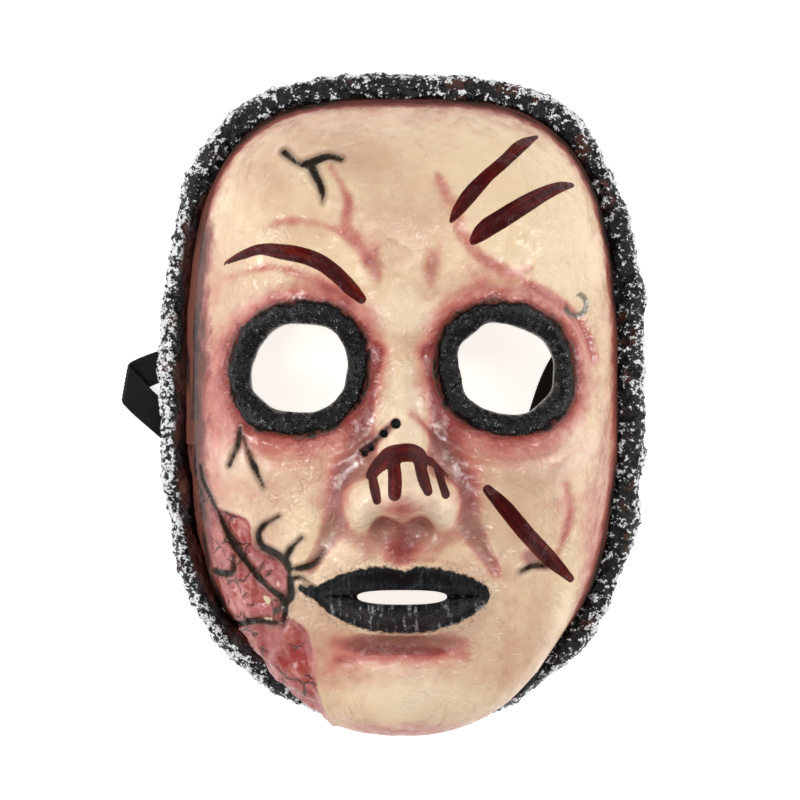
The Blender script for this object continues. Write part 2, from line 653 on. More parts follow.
def rawDistance(x, y):
    # Distance to the torn edge, negative where a line to the left crosses the closed patch once
    edge = openCurve(marks["rawEdge"], 4)
    best, inside = np.full(x.shape, 99.0), np.zeros(x.shape, bool)
    for (x1, y1), (x2, y2) in zip(edge, edge[1:]):
        legX, legY = x2 - x1, y2 - y1
        share = np.clip(((x - x1) * legX + (y - y1) * legY) / (legX**2 + legY**2), 0.0, 1.0)
        best = np.minimum(best, np.hypot(x - x1 - share * legX, y - y1 - share * legY))
    closed = np.vstack([edge, marks["rawOuter"], edge[:1]])
    for (x1, y1), (x2, y2) in zip(closed, closed[1:]):
        crosses = (y1 > y) != (y2 > y)
        meets = x1 + (y - y1) * (x2 - x1) / ((y2 - y1) or 1.0)
        inside ^= crosses & (x < meets)
    return np.where(inside, -best, best)


def lipPaintDistance(x, y):
    # Above the upper edge or below the lower edge of the black paint, negative on the lips
    upper, lower, taper = lipEdges(x, 1.09)
    beyond = np.maximum(np.abs(x) - face["mouthWidth"] / 2 * 1.07, 0.0)
    above = (y - mouthY) - (upper + 1.3 * (taper > 0) + 0.3)
    below = -(y - mouthY) - (lower + 1.4 * (taper > 0) + 0.3)
    smear = strokeField(x, y, [[(-27.0, -65.0, 3.0), (-33.5, -64.2, 2.3), (-38.0, -63.0, 1.0)]])[0]
    return np.minimum(np.maximum(above, below) + beyond, smear)


def skinFields(x, y, z):
    # Every mark's distance or strength at points of the skin
    crack, _, _ = strokeField(x, y, marks["cracks"])
    crack = crack + 0.25 + 0.55 * layeredNoise(np.stack([x, y, 0 * x], -1), 5.0, 59, 2)
    slash, along, across = strokeField(x, y, marks["slashes"])
    stitch = np.full(x.shape, 99.0)
    for spotX, spotY, radius in marks["stitches"]:
        stitch = np.minimum(stitch, np.hypot(x - spotX, y - spotY) - radius)
    crescentX, crescentY, crescentReach = marks["crescent"]
    ring = np.abs(np.hypot(x - crescentX, y - crescentY) - crescentReach)
    lowerLeft = (x - crescentX) - (y - crescentY) < -3.2
    return {
        "slash": slash, "along": along, "across": across, "crack": crack, "stitch": stitch,
        "raw": rawDistance(x, y), "lips": lipPaintDistance(x, y),
        "eye": eyeDistance(x, y), "rim": rimDistance(x, y, z),
        "crescent": np.where(lowerLeft, ring + 2.0, ring),
        "line": strokeField(x, y, marks["blushLines"])[0],
    }


# Skin: the cast and painted latex face

skin = {
    "columns": 236,
    "rows": 300,
    "crinkle": 0.22,
    "fineCrinkle": 0.09,
    "rawDepth": 1.7,
    "rawRidges": 1.9,
    "crackDepth": 1.1,
    "crackLip": 0.45,
    "tornLip": 0.8,
    "stitchDepth": 0.9,
    "crescentDepth": 0.6,
    "lineDepth": 0.35,
    "paintThickness": 0.16,
    "lipWrinkles": 0.45,
    "foldHeight": 0.9,
    "openingSteps": 96,
    "sharpAngle": 62,
    "dullEdge": 5.0,
    "dullReach": (("lips", 0.3), ("slash", 0.5), ("crack", 0.4), ("stitch", 0.4), ("eye", 2.2)),
}


def spacedSteps(count, focus, spread, weight):
    # Parameters from −1 to 1 that crowd together round the focus
    fine = np.linspace(-1.0, 1.0, 2001)
    density = 1.0 + weight * hump(fine - focus, spread)
    total = np.concatenate([[0.0], np.cumsum((density[1:] + density[:-1]) / 2)])
    return np.interp(np.linspace(0.0, total[-1], count + 1), total, fine)


def skinDetail(points):
    # How far each point of the outer skin stands above the bare cast form
    x, y, z = points[..., 0], points[..., 1], points[..., 2]
    field = skinFields(x, y, z)
    inRaw = smoothStep(-field["raw"], -0.2, 2.6)
    height = skin["crinkle"] * layeredNoise(points, 8.0, 3) * (1.0 - inRaw)
    height += skin["fineCrinkle"] * ridgedNoise(points, 3.4, 11, 2)
    height += inRaw * (skin["rawRidges"] * (ridgedNoise(points * (1.0, 0.8, 1.0), 13.0, 21, 3) - 0.35)
                       + 0.5 * layeredNoise(points, 4.5, 31, 2) - skin["rawDepth"])
    height += skin["tornLip"] * hump(field["raw"] - 0.9, 1.2)
    height -= skin["crackDepth"] * smoothStep(-field["crack"], -1.2, 0.3)
    height += skin["crackLip"] * hump(field["crack"] - 1.7, 1.0)
    height += skin["paintThickness"] * smoothStep(-field["slash"], -0.3, 0.7)
    height -= skin["stitchDepth"] * smoothStep(-field["stitch"], -0.5, 0.8)
    height -= skin["crescentDepth"] * hump(field["crescent"], 0.8)
    height -= skin["lineDepth"] * hump(np.maximum(field["line"], 0.0), 1.3)
    lipShare = smoothStep(-field["lips"], 0.0, 1.5)
    height += lipShare * skin["lipWrinkles"] * ridgedNoise(points * (1.0, 0.16, 0.16), 2.3, 41, 2)
    lower = smoothStep(eyeY + 4.0 - y, 0.0, 14.0)
    eye = field["eye"]
    height += skin["foldHeight"] * (hump(eye - 5.2, 2.0) - 0.8 * hump(eye - 9.3 - 2.2 * lower, 1.5)
                                    + 0.6 * lower * hump(eye - 15.5, 2.6))
    low = edgeHeight(y)
    return height * smoothStep(z - low, 1.5, 9.0) * smoothStep(eye, 0.6, 3.2)


def borderLoop(rows, columns):
    # Point numbers round the border of a grid, anticlockwise from its first corner
    bottom = np.arange(columns)
    right = np.arange(1, rows) * columns + columns - 1
    top = (rows - 1) * columns + np.arange(columns - 2, -1, -1)
    left = np.arange(rows - 2, 0, -1) * columns
    return np.concatenate([bottom, right, top, left])


def prism(outline, low, high):
    # An upright prism over an outline: its points, side quads and two caps
    count = len(outline)
    points = np.concatenate([np.column_stack([outline, np.full(count, z)]) for z in (low, high)])
    here, after = np.arange(count), (np.arange(count) + 1) % count
    sides = np.stack([here, after, count + after, count + here], axis=-1).tolist()
    return points, sides + [list(range(count))[::-1], list(range(count, 2 * count))]


def cutOpenings(mesh, materials):
    # The eye holes and the mouth slit, cut through both walls by three prisms
    turn = circle(skin["openingSteps"])
    power = 2.0 / face["slitSquareness"]
    slitX = face["slitWidth"] / 2 * signedPower(np.cos(turn), power)
    slitY = mouthY + face["slitHeight"] / 2 * signedPower(np.sin(turn), power)
    cutterPoints, cutterFaces, count = [], [], 0
    for outline in (eyeOutline(-1, 0.0, turn), eyeOutline(1, 0.0, turn), (slitX, slitY)):
        outline = np.stack(outline, axis=-1)
        prismPoints, prismFaces = prism(outline, -10.0, face["depth"] + face["noseRise"] + 20.0)
        cutterPoints.append(prismPoints)
        cutterFaces += [[n + count for n in corners] for corners in prismFaces]
        count += len(prismPoints)
    cutterMesh = makeMesh("cutter", toWorld(np.concatenate(cutterPoints)), cutterFaces)
    uncut = bpy.data.objects.new("skinUncut", mesh)
    cutter = bpy.data.objects.new("cutter", cutterMesh)
    for thing in (uncut, cutter):
        bpy.context.scene.collection.objects.link(thing)
    for material in materials:
        mesh.materials.append(material)
    modifier = uncut.modifiers.new("openings", "BOOLEAN")
    modifier.operation, modifier.solver, modifier.object = "DIFFERENCE", "MANIFOLD", cutter
    bpy.context.view_layer.update()
    graph = bpy.context.evaluated_depsgraph_get()
    cutMesh = bpy.data.meshes.new_from_object(uncut.evaluated_get(graph), depsgraph=graph)
    bpy.data.objects.remove(uncut)
    bpy.data.objects.remove(cutter)
    cutMesh.name = "faceSkin"
    cutMesh.shade_smooth()
    cutMesh.set_sharp_from_angle(angle=math.radians(skin["sharpAngle"]))
    return cutMesh


def addPaint(cutMesh):
    # Where each paint, wound and stain lies, stored at the skin's points for its material
    points = meshPoints(cutMesh)
    x, y, z = points.T
    field = skinFields(x, y, z)
    ragged = layeredNoise(points, 9.0, 51)
    fine = layeredNoise(points, 3.0, 57)
    leftSide = smoothStep(-x, 20.0, 60.0) * smoothStep(y, -70.0, -30.0) * smoothStep(-y, -92.0, -60.0)
    reach = 6.2 + 5.8 * leftSide + 2.6 * ragged
    rimStain = 1.0 - smoothStep(field["rim"] - 0.35 * reach, 0.0, reach)
    way = np.stack([np.arctan2(y, x) * 14.0, field["rim"] * 1.3, np.zeros_like(x)], axis=-1)
    streaks = layeredNoise(way, 2.4, 53, 2)
    rimStain = rimStain + 0.42 * streaks * rimStain * (1.0 - 0.6 * rimStain)
    chinBare = smoothStep(-y, 70.0, 100.0) * smoothStep(20.0 - np.abs(x + 2.0), -34.0, 0.0)
    rimStain *= 1.0 - 0.85 * chinBare
    rimStain *= 1.0 - 0.75 * (1.0 - leftSide) * smoothStep(z + 4.0 * ragged, 12.0, 34.0)
    eyeStain = 1.0 - smoothStep(field["eye"] + 1.5 * ragged + 1.1 * fine, 0.8, 5.4)
    eyeHalo = 1.0 - smoothStep(field["eye"] + 2.0 * ragged, 2.5, 15.0)
    blush = sumOfSpots(x, y, marks["blushSpots"])
    lineGlow = (1.0 - smoothStep(field["line"], -1.0, 3.0)) ** 1.4 * (0.85 + 0.5 * ragged)
    rimGlow = 1.0 - smoothStep(field["rim"], 2.0, 15.0 + 5.0 * leftSide)
    blush = 1.0 - ((1.0 - 0.85 * blush) * (1.0 - 0.85 * eyeHalo**1.3)
                   * (1.0 - 0.75 * np.clip(lineGlow, 0, 1)))
    blush = 1.0 - (1.0 - blush) * (1.0 - 0.42 * rimGlow * (1.0 - 0.6 * chinBare))
    hollow = 0.45 * hollowDepth(x, y, z, 2.8) + 0.50 * hollowDepth(x, y, z, 7.0)
    hollow += 0.28 * hollowDepth(x, y, z, 15.0) + 0.14 * ragged
    hollow *= smoothStep(field["eye"], 1.0, 5.0) * smoothStep(field["lips"], 0.0, 3.0)
    shares = {"hollow": hollow, "streaks": streaks}
    shares |= {name: field[name] for name in ("slash", "crack", "raw", "lips", "stitch", "crescent")}
    shares |= {"blush": blush + 0.10 * fine, "stain": np.maximum(rimStain, eyeStain),
               "pale": sumOfSpots(x, y, marks["paleSpots"])}
    for name, values in shares.items():
        addAttribute(cutMesh, name, np.clip(values, -9.0, 9.0))
    stroke = np.stack([field["along"], field["across"], np.zeros_like(x)], axis=-1)
    addAttribute(cutMesh, "stroke", stroke, "FLOAT_VECTOR")


def buildSkin(materials):
    # The cast face, its outer wall detailed and its inner wall plain and half as fine
    across, up = np.meshgrid(spacedSteps(skin["columns"], 0.0, 0.42, 1.0),
                             spacedSteps(skin["rows"], -0.25, 0.5, 0.7))
    outer = faceSurface(across, up)
    step = 1e-4
    normal = np.cross(
        faceSurface(np.minimum(across + step, 1), up) - faceSurface(np.maximum(across - step, -1), up),
        faceSurface(across, np.minimum(up + step, 1)) - faceSurface(across, np.maximum(up - step, -1)),
    )
    normal[0], normal[-1] = normal[1], normal[-2]
    normal[:, 0], normal[:, -1] = normal[:, 1], normal[:, -2]
    edge = np.zeros(across.shape, bool)
    edge[0] = edge[-1] = edge[:, 0] = edge[:, -1] = True
    normal[edge, 2] = 0.0
    normal /= np.linalg.norm(normal, axis=-1, keepdims=True)
    inner = (outer - face["wall"] * normal)[::2, ::2]
    outer = outer + skinDetail(outer)[..., None] * normal
    rows, columns = across.shape
    innerRows, innerColumns = inner.shape[:2]
    size = rows * columns
    outerQuads = gridFaces(rows, columns)
    innerQuads = gridFaces(innerRows, innerColumns)[:, ::-1] + size
    outerLoop, innerLoop = borderLoop(rows, columns), borderLoop(innerRows, innerColumns) + size
    one, middle, other = outerLoop[::2], outerLoop[1::2], np.roll(outerLoop[::2], -1)
    a, b = innerLoop, np.roll(innerLoop, -1)
    bridge = np.concatenate([np.stack([middle, one, a], -1), np.stack([middle, a, b], -1),
                             np.stack([other, middle, b], -1)])
    faces = outerQuads.tolist() + innerQuads.tolist() + bridge.tolist()
    points = toWorld(np.concatenate([outer.reshape(-1, 3), inner.reshape(-1, 3)]))
    mesh = makeMesh("skinUncut", points, faces, recalculate=False)
    materialNumbers = np.zeros(len(faces), np.int32)
    materialNumbers[len(outerQuads):len(outerQuads) + len(innerQuads)] = 1
    mesh.polygons.foreach_set("material_index", materialNumbers)
    cutMesh = cutOpenings(mesh, materials)
    addPaint(cutMesh)
    numbers = np.empty(len(cutMesh.polygons), np.int32)
    cutMesh.polygons.foreach_get("material_index", numbers)
    cutMesh.materials.clear()
    piece = addPiece("faceSkin", cutMesh, materials, ["face_shell"])
    centres = np.empty(len(cutMesh.polygons) * 3, np.float32)
    cutMesh.polygons.foreach_get("center", centres)
    x, y, z = ((centres.reshape(-1, 3).astype(float) - faceOrigin) * 1000).T
    field = skinFields(x, y, z)
    dull = field["rim"] < skin["dullEdge"]
    for name, reach in skin["dullReach"]:
        dull |= field[name] < reach
    cutMesh.polygons.foreach_set("material_index", np.where((numbers == 0) & dull, 2, numbers))
    return piece


paint = {
    "shine": 0.8,
    "dullShine": 0.13,
    "cream": (0.84, 0.64, 0.41),
    "peach": (0.64, 0.40, 0.26),
    "highlight": (0.88, 0.70, 0.50),
    "blush": (0.54, 0.145, 0.115),
    "wine": (0.27, 0.030, 0.026),
    "brown": (0.105, 0.042, 0.024),
    "shadow": (0.016, 0.008, 0.007),
    "slash": (0.042, 0.003, 0.003),
    "slashThin": (0.16, 0.011, 0.007),
    "flesh": (0.36, 0.050, 0.042),
    "fleshPale": (0.56, 0.19, 0.16),
    "crack": (0.022, 0.015, 0.010),
    "lips": (0.004, 0.004, 0.005),
    "dryBrush": (0.40, 0.41, 0.42),
    "fleck": (0.30, 0.14, 0.08),
    "dust": (0.10, 0.065, 0.05),
    "crescent": (0.10, 0.10, 0.07),
    "latexPale": (0.66, 0.52, 0.34),
    "latexTan": (0.44, 0.31, 0.18),
    "latexBrown": (0.24, 0.13, 0.07),
}


def paintedSkinMaterial(name, shine):
    material, tree, shader = newMaterial(name)
    shader.inputs["Specular IOR Level"].default_value = shine
    spot = place(tree)
    mottle, medium = grain(tree, spot, 42.0, 5.0), grain(tree, spot, 190.0, 4.0)
    fine = grain(tree, spot, 900.0, 3.0, 0.6)
    pale = added(tree, times(tree, stored(tree, "pale"), 0.55), mottle)
    colour = mixColour(tree, band(tree, pale, 0.30, 0.80), paint["peach"], paint["cream"])
    speck = band(tree, grain(tree, spot, 1500.0, 1.0), 0.70, 0.78, 0.0, 0.35)
    colour = mixColour(tree, speck, colour, paint["fleck"])
    wobble = times(tree, minus(tree, medium, 0.5), 0.55)
    hollow = stored(tree, "hollow")
    colour = mixColour(tree, band(tree, hollow, -0.10, -1.1, 0.0, 0.7), colour, paint["highlight"])
    flush = added(tree, stored(tree, "blush"), wobble)
    flush = added(tree, flush, band(tree, hollow, 0.0, 1.1, 0.0, 0.52))
    colour = mixColour(tree, band(tree, flush, 0.05, 0.80, 0.0, 0.92), colour, paint["blush"])
    colour = mixColour(tree, band(tree, flush, 0.62, 1.10, 0.0, 0.9), colour, paint["wine"])
    colour = mixColour(tree, band(tree, hollow, 0.40, 1.7, 0.0, 0.50), colour, paint["brown"])
    dust = times(tree, band(tree, stored(tree, "lips"), 7.0, 0.0),
                 band(tree, grain(tree, spot, 700.0, 4.0, 0.7), 0.46, 0.66, 0.0, 0.55))
    colour = mixColour(tree, dust, colour, paint["dust"])

    raw = added(tree, stored(tree, "raw"), times(tree, wobble, 2.4))
    rawShare = band(tree, raw, 0.9, -0.5)
    flesh = mixColour(tree, band(tree, grain(tree, spot, 120.0, 5.0, 0.6, 0.6), 0.40, 0.70),
                      paint["flesh"], paint["fleshPale"])
    flesh = mixColour(tree, band(tree, mottle, 0.62, 0.40, 0.0, 0.55), flesh, paint["wine"])
    shift = node(tree, "CombineXYZ", {"X": times(tree, medium, 0.010), "Y": times(tree, mottle, 0.014)})
    bent = node(tree, "VectorMath", {0: spot, 1: shift.outputs[0]}, operation="ADD").outputs[0]
    web = added(tree, cells(tree, bent, 88.0, "DISTANCE_TO_EDGE"),
                band(tree, grain(tree, spot, 95.0, 2.0), 0.48, 0.62, 0.0, 0.12))
    flesh = mixColour(tree, band(tree, web, 0.10, 0.0, 0.0, 0.75), flesh, paint["wine"])
    flesh = mixColour(tree, band(tree, web, 0.035, 0.005, 0.0, 0.9), flesh, paint["crack"])
    colour = mixColour(tree, rawShare, colour, flesh)

    stain = added(tree, stored(tree, "stain"), wobble)
    colour = mixColour(tree, band(tree, stain, 0.16, 0.62, 0.0, 0.92), colour, paint["wine"])
    colour = mixColour(tree, band(tree, stain, 0.46, 0.80, 0.0, 0.70), colour, paint["brown"])
    deep = times(tree, band(tree, stain, 0.62, 0.95),
                 band(tree, stored(tree, "streaks"), 0.35, -0.25, 0.25, 1.0))
    colour = mixColour(tree, deep, colour, paint["shadow"])

    crackEdge = added(tree, stored(tree, "crack"), times(tree, wobble, 0.6))
    crackShare = band(tree, crackEdge, 0.85, 0.05)
    colour = mixColour(tree, band(tree, crackEdge, 2.6, 0.4, 0.0, 0.6), colour, paint["brown"])
    colour = mixColour(tree, crackShare, colour, paint["crack"])
    stitchShare = band(tree, added(tree, stored(tree, "stitch"), wobble), 0.3, -0.2)
    colour = mixColour(tree, stitchShare, colour, paint["lips"])
    colour = mixColour(tree, band(tree, stored(tree, "crescent"), 1.7, 0.4, 0.0, 0.85), colour,
                       paint["crescent"])

    brush = stretched(tree, stored(tree, "stroke", "Vector"), (0.05, 0.45, 1.0))
    streak = grain(tree, brush, 1.0, 3.0, 0.6)
    slashEdge = added(tree, stored(tree, "slash"), times(tree, wobble, 0.7))
    slashShare = band(tree, slashEdge, 0.16, -0.10)
    slashColour = mixColour(tree, band(tree, streak, 0.40, 0.75, 0.0, 0.8), paint["slash"],
                            paint["slashThin"])
    colour = mixColour(tree, slashShare, colour, slashColour)

    wrinkle = grain(tree, stretched(tree, spot, (1.0, 0.18, 0.18)), 480.0, 3.0, 0.6)
    lipEdge = added(tree, stored(tree, "lips"),
                    times(tree, minus(tree, grain(tree, spot, 420.0), 0.5), 3.2))
    lipShare = band(tree, lipEdge, 0.5, -0.5)
    height = node(tree, "SeparateXYZ", {0: spot}).outputs["Y"]
    lowerLip = band(tree, height, float(toWorld([0, mouthY - 1.0, 0])[1]),
                    float(toWorld([0, mouthY - 5.0, 0])[1]), 0.12, 1.0)
    brushed = times(tree, band(tree, wrinkle, 0.53, 0.66, 0.0, 0.8), lowerLip)
    brushed = times(tree, brushed, band(tree, fine, 0.38, 0.62))
    lipColour = mixColour(tree, brushed, paint["lips"], paint["dryBrush"])
    colour = mixColour(tree, lipShare, colour, lipColour)
    plug(tree, colour, shader.inputs["Base Color"])

    gloss = band(tree, mottle, 0.35, 0.68, 0.23, 0.11)
    gloss = node(tree, "Mix", {0: rawShare, 2: gloss, 3: 0.13}).outputs[0]
    gloss = node(tree, "Mix", {0: band(tree, stain, 0.45, 0.85), 2: gloss, 3: 0.72}).outputs[0]
    gloss = node(tree, "Mix", {0: lipShare, 2: gloss, 3: 0.30}).outputs[0]
    plug(tree, gloss, shader.inputs["Roughness"])

    crinkle = times(tree, grain(tree, spot, 240.0, 4.0, 0.62, 1.1),
                    band(tree, grain(tree, spot, 60.0, 2.0), 0.38, 0.62, 0.30, 1.30))
    pores = times(tree, fine, 0.10)
    relief = added(tree, crinkle, pores)
    webDent = times(tree, rawShare, band(tree, web, 0.06, 0.0, 0.0, 0.5))
    relief = minus(tree, relief, webDent)
    relief = added(tree, relief, times(tree, slashShare, 0.05))
    relief = minus(tree, relief, times(tree, crackShare, 0.35))
    relief = added(tree, relief,
                   times(tree, times(tree, lipShare, wrinkle), 0.9))
    addBump(tree, shader, relief)
    shader.inputs["Subsurface Weight"].default_value = 0.10
    shader.inputs["Subsurface Radius"].default_value = (1.0, 0.35, 0.2)
    shader.inputs["Subsurface Scale"].default_value = 0.003
    return material


def rawLatexMaterial():
    material, tree, shader = newMaterial("rawLatex")
    spot = place(tree)
    cloudy = grain(tree, spot, 55.0, 5.0)
    colour = mixColour(tree, band(tree, cloudy, 0.35, 0.68), paint["latexTan"], paint["latexPale"])
    colour = mixColour(tree, band(tree, grain(tree, spot, 24.0, 6.0, 0.65), 0.60, 0.78, 0.0, 0.55),
                       colour, paint["latexBrown"])
    plug(tree, colour, shader.inputs["Base Color"])
    plug(tree, band(tree, cloudy, 0.3, 0.7, 0.62, 0.42), shader.inputs["Roughness"])
    height = added(tree, times(tree, grain(tree, spot, 260.0), 0.35),
                   times(tree, grain(tree, spot, 1100.0), 0.12))
    addBump(tree, shader, height)
    return material


# Edge roll: the crusty black rim

roll = {
    "stations": 1180,
    "sides": 56,
    "width": 8.8,
    "height": 10.5,
    "chinShare": 0.72,
    "chinFrom": 0.75,
    "overSkin": 1.3,
    "squareness": 2.5,
    "lumps": 2.4,
    "smallLumps": 0.9,
    "crumbSize": 2.4,
    "crumbRise": 1.6,
    "bulges": (
        # x, y, reach, rise
        (88.0, 45.0, 10.0, 3.0), (-58.0, 108.0, 9.0, 1.4), (-87.0, -52.0, 8.0, 1.2),
        (62.0, 108.0, 8.0, 1.0), (86.0, -38.0, 9.0, 1.3),
    ),
    "black": (0.004, 0.004, 0.005),
    "soot": (0.004, 0.003, 0.003),
    "wine": (0.055, 0.012, 0.009),
    "tan": (0.16, 0.06, 0.03),
    "rust": (0.085, 0.024, 0.012),
    "silverDull": (0.50, 0.51, 0.52),
    "silverBright": (0.93, 0.94, 0.95),
}


def edgePath(count):
    # Evenly spaced points on the cut edge and the outward direction at each
    turn = np.linspace(-math.pi, math.pi, 4001)
    x = outlineRadius(turn) * np.cos(turn)
    y = outlineRadius(turn) * np.sin(turn) + chinPull(turn, np.zeros_like(turn))
    length = np.concatenate([[0.0], np.cumsum(np.hypot(np.diff(x), np.diff(y)))])
    at = np.linspace(0.0, length[-1], count + 1)[:-1]
    x, y = np.interp(at, length, x), np.interp(at, length, y)
    alongX, alongY = np.roll(x, -1) - np.roll(x, 1), np.roll(y, -1) - np.roll(y, 1)
    size = np.hypot(alongX, alongY)
    return x, y, alongY / size, -alongX / size, np.arctan2(y, x)


def buildRoll(material):
    # A superelliptic section carried round the cut edge, roughened outwards by lumps and crumbs
    x, y, outX, outY, angle = (values[:, None] for values in edgePath(roll["stations"]))
    phase = circle(roll["sides"])[None, :]
    power = 2.0 / roll["squareness"]
    cosine, sine = signedPower(np.cos(phase), power), signedPower(np.sin(phase), power)
    chin = smoothStep(-np.sin(angle), roll["chinFrom"], face["chinTo"])
    width = roll["width"] * (1.0 - (1.0 - roll["chinShare"]) * chin) + roll["overSkin"]
    out = -roll["overSkin"] + width / 2 * (1.0 + cosine)
    rise = np.broadcast_to(roll["height"] / 2 * (1.0 + sine), out.shape)
    centre = np.stack([x + out * outX, y + out * outY, edgeHeight(y) + rise], axis=-1)
    level = np.broadcast_to(np.sin(phase), out.shape)
    direction = np.stack([np.cos(phase) * outX, np.cos(phase) * outY, level], axis=-1)
    near, number = crumbs(centre, roll["crumbSize"], 5)
    nearSmall, numberSmall = crumbs(centre, roll["crumbSize"] * 0.48, 9)
    crust = (number - 0.35) * (1.0 - near**2) + 0.45 * (numberSmall - 0.3) * (1.0 - nearSmall**2)
    outward = (out + roll["overSkin"]) / width
    left = smoothStep(-x, 30.0, 70.0) * smoothStep(-y, -100.0, -70.0)
    crusty = smoothStep(outward, 0.42 * left, 0.42 * left + 0.16)
    push = roll["lumps"] * layeredNoise(centre, 13.0, 61) + roll["smallLumps"] * layeredNoise(centre, 4.5, 63)
    push = push + roll["crumbRise"] * crust * (0.25 + 0.75 * crusty)
    for bulgeX, bulgeY, reach, bulge in roll["bulges"]:
        push = push + bulge * outward * hump(np.hypot(x - bulgeX, y - bulgeY), reach)
    above = smoothStep(rise, 0.2, 2.0)
    points = centre + direction * (push * (0.15 + 0.85 * above))[..., None]
    points[..., 2] = np.maximum(points[..., 2], edgeHeight(y) + 0.05)
    mesh = makeMesh("edgeRoll", toWorld(points),
                    gridFaces(roll["stations"], roll["sides"], True, True).tolist())
    addAttribute(mesh, "crust", (crust + 0.35 * layeredNoise(centre, 1.6, 71, 2)).ravel())
    blotch = layeredNoise(centre, 13.0, 67, 2)
    silverFrom = 0.66 - 0.28 * left
    brushed = smoothStep(outward + 0.22 * blotch, silverFrom, silverFrom + 0.30)
    streaks = layeredNoise(np.stack([np.broadcast_to(angle * 14.0, out.shape), out, rise], -1), 1.8, 73, 2)
    for name, values in (("blotch", blotch), ("brushed", brushed), ("crusty", crusty),
                         ("streaks", streaks)):
        addAttribute(mesh, name, values.ravel())
    return addPiece("edgeRoll", mesh, [material], ["edge_roll"])


def edgeRollMaterial():
    material, tree, shader = newMaterial("crustyBlackEdge")
    spot = place(tree)
    fine, coarse = grain(tree, spot, 1200.0, 3.0, 0.6), grain(tree, spot, 430.0, 3.0, 0.6)
    crust, blotch, crusty = (stored(tree, name) for name in ("crust", "blotch", "crusty"))
    streaks = stored(tree, "streaks")
    stained = mixColour(tree, band(tree, streaks, -0.25, 0.15), roll["soot"], roll["wine"])
    stained = mixColour(tree, band(tree, streaks, 0.30, 0.55, 0.0, 0.6), stained, roll["tan"])
    rust = added(tree, grain(tree, spot, 110.0, 4.0), times(tree, blotch, 0.10))
    black = mixColour(tree, band(tree, rust, 0.58, 0.68, 0.0, 0.75), roll["black"], roll["rust"])
    colour = mixColour(tree, crusty, stained, black)
    silver = added(tree, times(tree, coarse, 0.75), times(tree, fine, 0.45))
    silver = added(tree, silver, times(tree, crust, 0.16))
    silver = added(tree, silver, times(tree, stored(tree, "brushed"), 0.09))
    silverShare = times(tree, band(tree, silver, 0.710, 0.740), crusty)
    silverTone = mixColour(tree, band(tree, fine, 0.35, 0.6), roll["silverDull"], roll["silverBright"])
    colour = mixColour(tree, silverShare, colour, silverTone)
    plug(tree, colour, shader.inputs["Base Color"])
    plug(tree, band(tree, coarse, 0.35, 0.7, 0.26, 0.50), shader.inputs["Roughness"])
    shader.inputs["Specular IOR Level"].default_value = 0.32
    height = added(tree, times(tree, coarse, 0.9),
                   times(tree, fine, 0.45))
    addBump(tree, shader, height)
    return material


# Eye rings: rough black sockets inside the eye holes

ring = {
    "stations": 420,
    "width": 6.6,
    "crumbSize": 2.1,
    "crumbRise": 1.05,
    "uneven": 1.5,
    "ragged": 1.6,
    "section": (
        # inset from the eye hole as a share of the width, height in millimetres over the skin
        (-0.20, -0.25), (-0.15, 0.55), (0.02, 1.35), (0.20, 1.75), (0.42, 1.45), (0.66, 0.55),
        (0.86, -0.75), (0.96, -2.4), (1.0, -4.4), (1.0, -7.0), (0.97, -9.0), (0.82, -9.5),
        (0.42, -9.5), (0.10, -9.3), (0.03, -8.4), (0.03, -4.0), (0.02, -0.6),
    ),
    "sidesPerLeg": 6,
    "black": (0.004, 0.004, 0.005),
    "brown": (0.030, 0.015, 0.011),
    "speck": (0.62, 0.63, 0.64),
}


def buildRing(side, name, nodeName, material):
    # A hand-drawn section carried round the eye hole, grainy on its face and smooth in its wall
    section = closedCurve(ring["section"], ring["sidesPerLeg"])
    turn = circle(ring["stations"])[:, None]
    edgeX, edgeY = eyeOutline(side, 0.3, turn)
    edge = np.stack([edgeX, edgeY, 0 * edgeX], axis=-1)
    uneven = layeredNoise(edge, 15.0, 95, 2) * smoothStep(section[None, :, 0], 0.3, 0.9)
    ragged = layeredNoise(edge, 4.6, 97, 3) * smoothStep(-section[None, :, 0], -0.15, 0.12)
    inset = section[None, :, 0] * ring["width"] + ring["uneven"] * uneven - ring["ragged"] * ragged
    x, y = eyeOutline(side, inset, turn)
    z = frontHeight(edgeX, edgeY) + section[None, :, 1]
    points = np.stack([x, y, z], axis=-1)
    faceShare = smoothStep(section[None, :, 1], -3.2, -0.4) * smoothStep(section[None, :, 0], -0.19, -0.05)
    near, number = crumbs(points, ring["crumbSize"], 83)
    near2, number2 = crumbs(points, ring["crumbSize"] * 0.55, 87)
    crust = (number - 0.2) * (1.0 - near**2) + 0.4 * number2 * (1.0 - near2**2)
    lumps = layeredNoise(points, 6.5, 91, 3)
    push = faceShare * (ring["crumbRise"] * crust + 0.75 * lumps) + (1 - faceShare) * 0.14 * lumps
    inward = np.stack([side * face["eyeWidth"] - x, eyeY - y, np.zeros_like(x)], axis=-1)
    inward /= np.linalg.norm(inward, axis=-1, keepdims=True)
    lean = smoothStep(section[None, :, 0], 0.55, 1.0)[..., None]
    direction = (1 - lean) * np.array([0.0, 0.0, 1.0]) + lean * inward
    points = points + direction * push[..., None]
    mesh = makeMesh(name, toWorld(points),
                    gridFaces(ring["stations"], len(section), True, True).tolist())
    addAttribute(mesh, "crust", (crust * faceShare).ravel())
    addAttribute(mesh, "front", np.broadcast_to(faceShare, x.shape).ravel())
    return addPiece(name, mesh, [material], [nodeName])


